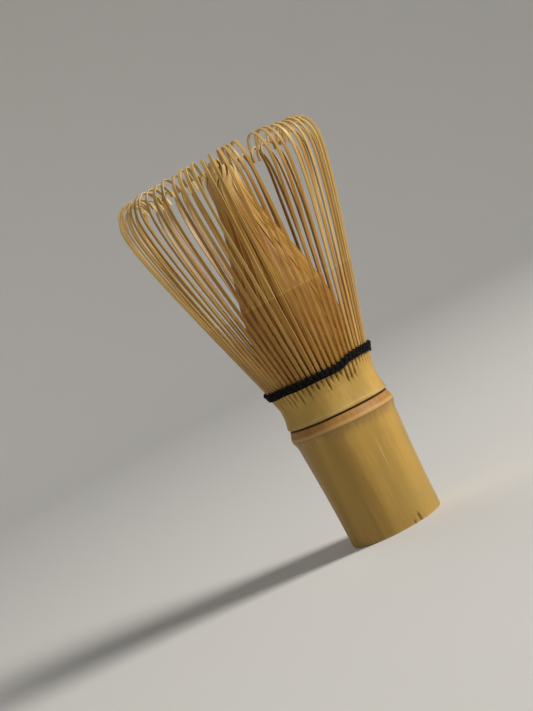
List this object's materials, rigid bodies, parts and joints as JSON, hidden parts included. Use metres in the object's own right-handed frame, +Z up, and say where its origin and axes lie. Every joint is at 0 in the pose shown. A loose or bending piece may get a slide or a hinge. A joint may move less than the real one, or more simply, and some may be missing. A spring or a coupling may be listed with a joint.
{
  "type": "bamboo tea whisk",
  "caption": "Whisk carved from one bamboo cane: a plain handle, thread lacing, an outer ring of curled tines that flex and an inner bundle gathered to a point.",
  "frame": {"origin": "centre of the flat end of the handle, on the surface the whisk stands on", "axes": "+Z up the cane's axis towards the tines; +X towards the lower side of the slightly tilted node ridge"},
  "size_m": [0.0596, 0.0596, 0.11],
  "materials": {
    "bamboo_cane": "natural bamboo skin, satin, scraped matt on the collar",
    "bamboo_outer_tine": "split bamboo, satin skin outside and matt inside",
    "bamboo_inner_tine": "split bamboo, matt",
    "black_thread": "twisted cotton thread, matt"
  },
  "bodies": {
    "cane": {"cane_handle": "bamboo_cane", "lacing": "black_thread"},
    "outer_group_01": {"outer_tines_01": "bamboo_outer_tine"},
    "outer_group_02": {"outer_tines_02": "bamboo_outer_tine"},
    "outer_group_03": {"outer_tines_03": "bamboo_outer_tine"},
    "outer_group_04": {"outer_tines_04": "bamboo_outer_tine"},
    "outer_group_05": {"outer_tines_05": "bamboo_outer_tine"},
    "outer_group_06": {"outer_tines_06": "bamboo_outer_tine"},
    "outer_group_07": {"outer_tines_07": "bamboo_outer_tine"},
    "outer_group_08": {"outer_tines_08": "bamboo_outer_tine"},
    "outer_group_09": {"outer_tines_09": "bamboo_outer_tine"},
    "outer_group_10": {"outer_tines_10": "bamboo_outer_tine"},
    "outer_group_11": {"outer_tines_11": "bamboo_outer_tine"},
    "outer_group_12": {"outer_tines_12": "bamboo_outer_tine"},
    "outer_group_13": {"outer_tines_13": "bamboo_outer_tine"},
    "outer_group_14": {"outer_tines_14": "bamboo_outer_tine"},
    "outer_group_15": {"outer_tines_15": "bamboo_outer_tine"},
    "outer_group_16": {"outer_tines_16": "bamboo_outer_tine"},
    "inner_group_01": {"inner_tines_01": "bamboo_inner_tine"},
    "inner_group_02": {"inner_tines_02": "bamboo_inner_tine"},
    "inner_group_03": {"inner_tines_03": "bamboo_inner_tine"},
    "inner_group_04": {"inner_tines_04": "bamboo_inner_tine"},
    "inner_group_05": {"inner_tines_05": "bamboo_inner_tine"},
    "inner_group_06": {"inner_tines_06": "bamboo_inner_tine"},
    "inner_group_07": {"inner_tines_07": "bamboo_inner_tine"},
    "inner_group_08": {"inner_tines_08": "bamboo_inner_tine"}
  },
  "joints": [
    {"name": "outer_flex_01", "type": "hinge", "parent": "cane", "child": "outer_group_01", "pos_m": [0.01424, 0.00211, 0.046], "axis": [-0.1467, 0.9892, 0], "range_deg": [-3, 5], "stiffness_Nm_per_rad": 0.02},
    {"name": "outer_flex_02", "type": "hinge", "parent": "cane", "child": "outer_group_02", "pos_m": [0.01235, 0.0074, 0.046], "axis": [-0.5141, 0.8577, 0], "range_deg": [-3, 5], "stiffness_Nm_per_rad": 0.02},
    {"name": "outer_flex_03", "type": "hinge", "parent": "cane", "child": "outer_group_03", "pos_m": [0.00858, 0.01157, 0.046], "axis": [-0.8032, 0.5957, 0], "range_deg": [-3, 5], "stiffness_Nm_per_rad": 0.02},
    {"name": "outer_flex_04", "type": "hinge", "parent": "cane", "child": "outer_group_04", "pos_m": [0.0035, 0.01397, 0.046], "axis": [-0.97, 0.243, 0], "range_deg": [-3, 5], "stiffness_Nm_per_rad": 0.02},
    {"name": "outer_flex_05", "type": "hinge", "parent": "cane", "child": "outer_group_05", "pos_m": [-0.00211, 0.01424, 0.046], "axis": [-0.9892, -0.1467, 0], "range_deg": [-3, 5], "stiffness_Nm_per_rad": 0.02},
    {"name": "outer_flex_06", "type": "hinge", "parent": "cane", "child": "outer_group_06", "pos_m": [-0.0074, 0.01235, 0.046], "axis": [-0.8577, -0.5141, 0], "range_deg": [-3, 5], "stiffness_Nm_per_rad": 0.02},
    {"name": "outer_flex_07", "type": "hinge", "parent": "cane", "child": "outer_group_07", "pos_m": [-0.01157, 0.00858, 0.046], "axis": [-0.5957, -0.8032, 0], "range_deg": [-3, 5], "stiffness_Nm_per_rad": 0.02},
    {"name": "outer_flex_08", "type": "hinge", "parent": "cane", "child": "outer_group_08", "pos_m": [-0.01397, 0.0035, 0.046], "axis": [-0.243, -0.97, 0], "range_deg": [-3, 5], "stiffness_Nm_per_rad": 0.02},
    {"name": "outer_flex_09", "type": "hinge", "parent": "cane", "child": "outer_group_09", "pos_m": [-0.01424, -0.00211, 0.046], "axis": [0.1467, -0.9892, 0], "range_deg": [-3, 5], "stiffness_Nm_per_rad": 0.02},
    {"name": "outer_flex_10", "type": "hinge", "parent": "cane", "child": "outer_group_10", "pos_m": [-0.01235, -0.0074, 0.046], "axis": [0.5141, -0.8577, 0], "range_deg": [-3, 5], "stiffness_Nm_per_rad": 0.02},
    {"name": "outer_flex_11", "type": "hinge", "parent": "cane", "child": "outer_group_11", "pos_m": [-0.00858, -0.01157, 0.046], "axis": [0.8032, -0.5957, 0], "range_deg": [-3, 5], "stiffness_Nm_per_rad": 0.02},
    {"name": "outer_flex_12", "type": "hinge", "parent": "cane", "child": "outer_group_12", "pos_m": [-0.0035, -0.01397, 0.046], "axis": [0.97, -0.243, 0], "range_deg": [-3, 5], "stiffness_Nm_per_rad": 0.02},
    {"name": "outer_flex_13", "type": "hinge", "parent": "cane", "child": "outer_group_13", "pos_m": [0.00211, -0.01424, 0.046], "axis": [0.9892, 0.1467, 0], "range_deg": [-3, 5], "stiffness_Nm_per_rad": 0.02},
    {"name": "outer_flex_14", "type": "hinge", "parent": "cane", "child": "outer_group_14", "pos_m": [0.0074, -0.01235, 0.046], "axis": [0.8577, 0.5141, 0], "range_deg": [-3, 5], "stiffness_Nm_per_rad": 0.02},
    {"name": "outer_flex_15", "type": "hinge", "parent": "cane", "child": "outer_group_15", "pos_m": [0.01157, -0.00858, 0.046], "axis": [0.5957, 0.8032, 0], "range_deg": [-3, 5], "stiffness_Nm_per_rad": 0.02},
    {"name": "outer_flex_16", "type": "hinge", "parent": "cane", "child": "outer_group_16", "pos_m": [0.01397, -0.0035, 0.046], "axis": [0.243, 0.97, 0], "range_deg": [-3, 5], "stiffness_Nm_per_rad": 0.02},
    {"name": "inner_flex_01", "type": "hinge", "parent": "cane", "child": "inner_group_01", "pos_m": [0.01196, 0.00496, 0.046], "axis": [-0.3827, 0.9239, 0], "range_deg": [0, 5], "stiffness_Nm_per_rad": 0.009},
    {"name": "inner_flex_02", "type": "hinge", "parent": "cane", "child": "inner_group_02", "pos_m": [0.00496, 0.01196, 0.046], "axis": [-0.9239, 0.3827, 0], "range_deg": [0, 5], "stiffness_Nm_per_rad": 0.009},
    {"name": "inner_flex_03", "type": "hinge", "parent": "cane", "child": "inner_group_03", "pos_m": [-0.00496, 0.01196, 0.046], "axis": [-0.9239, -0.3827, 0], "range_deg": [0, 5], "stiffness_Nm_per_rad": 0.009},
    {"name": "inner_flex_04", "type": "hinge", "parent": "cane", "child": "inner_group_04", "pos_m": [-0.01196, 0.00496, 0.046], "axis": [-0.3827, -0.9239, 0], "range_deg": [0, 5], "stiffness_Nm_per_rad": 0.009},
    {"name": "inner_flex_05", "type": "hinge", "parent": "cane", "child": "inner_group_05", "pos_m": [-0.01196, -0.00496, 0.046], "axis": [0.3827, -0.9239, 0], "range_deg": [0, 5], "stiffness_Nm_per_rad": 0.009},
    {"name": "inner_flex_06", "type": "hinge", "parent": "cane", "child": "inner_group_06", "pos_m": [-0.00496, -0.01196, 0.046], "axis": [0.9239, -0.3827, 0], "range_deg": [0, 5], "stiffness_Nm_per_rad": 0.009},
    {"name": "inner_flex_07", "type": "hinge", "parent": "cane", "child": "inner_group_07", "pos_m": [0.00496, -0.01196, 0.046], "axis": [0.9239, 0.3827, 0], "range_deg": [0, 5], "stiffness_Nm_per_rad": 0.009},
    {"name": "inner_flex_08", "type": "hinge", "parent": "cane", "child": "inner_group_08", "pos_m": [0.01196, -0.00496, 0.046], "axis": [0.3827, 0.9239, 0], "range_deg": [0, 5], "stiffness_Nm_per_rad": 0.009}
  ]
}
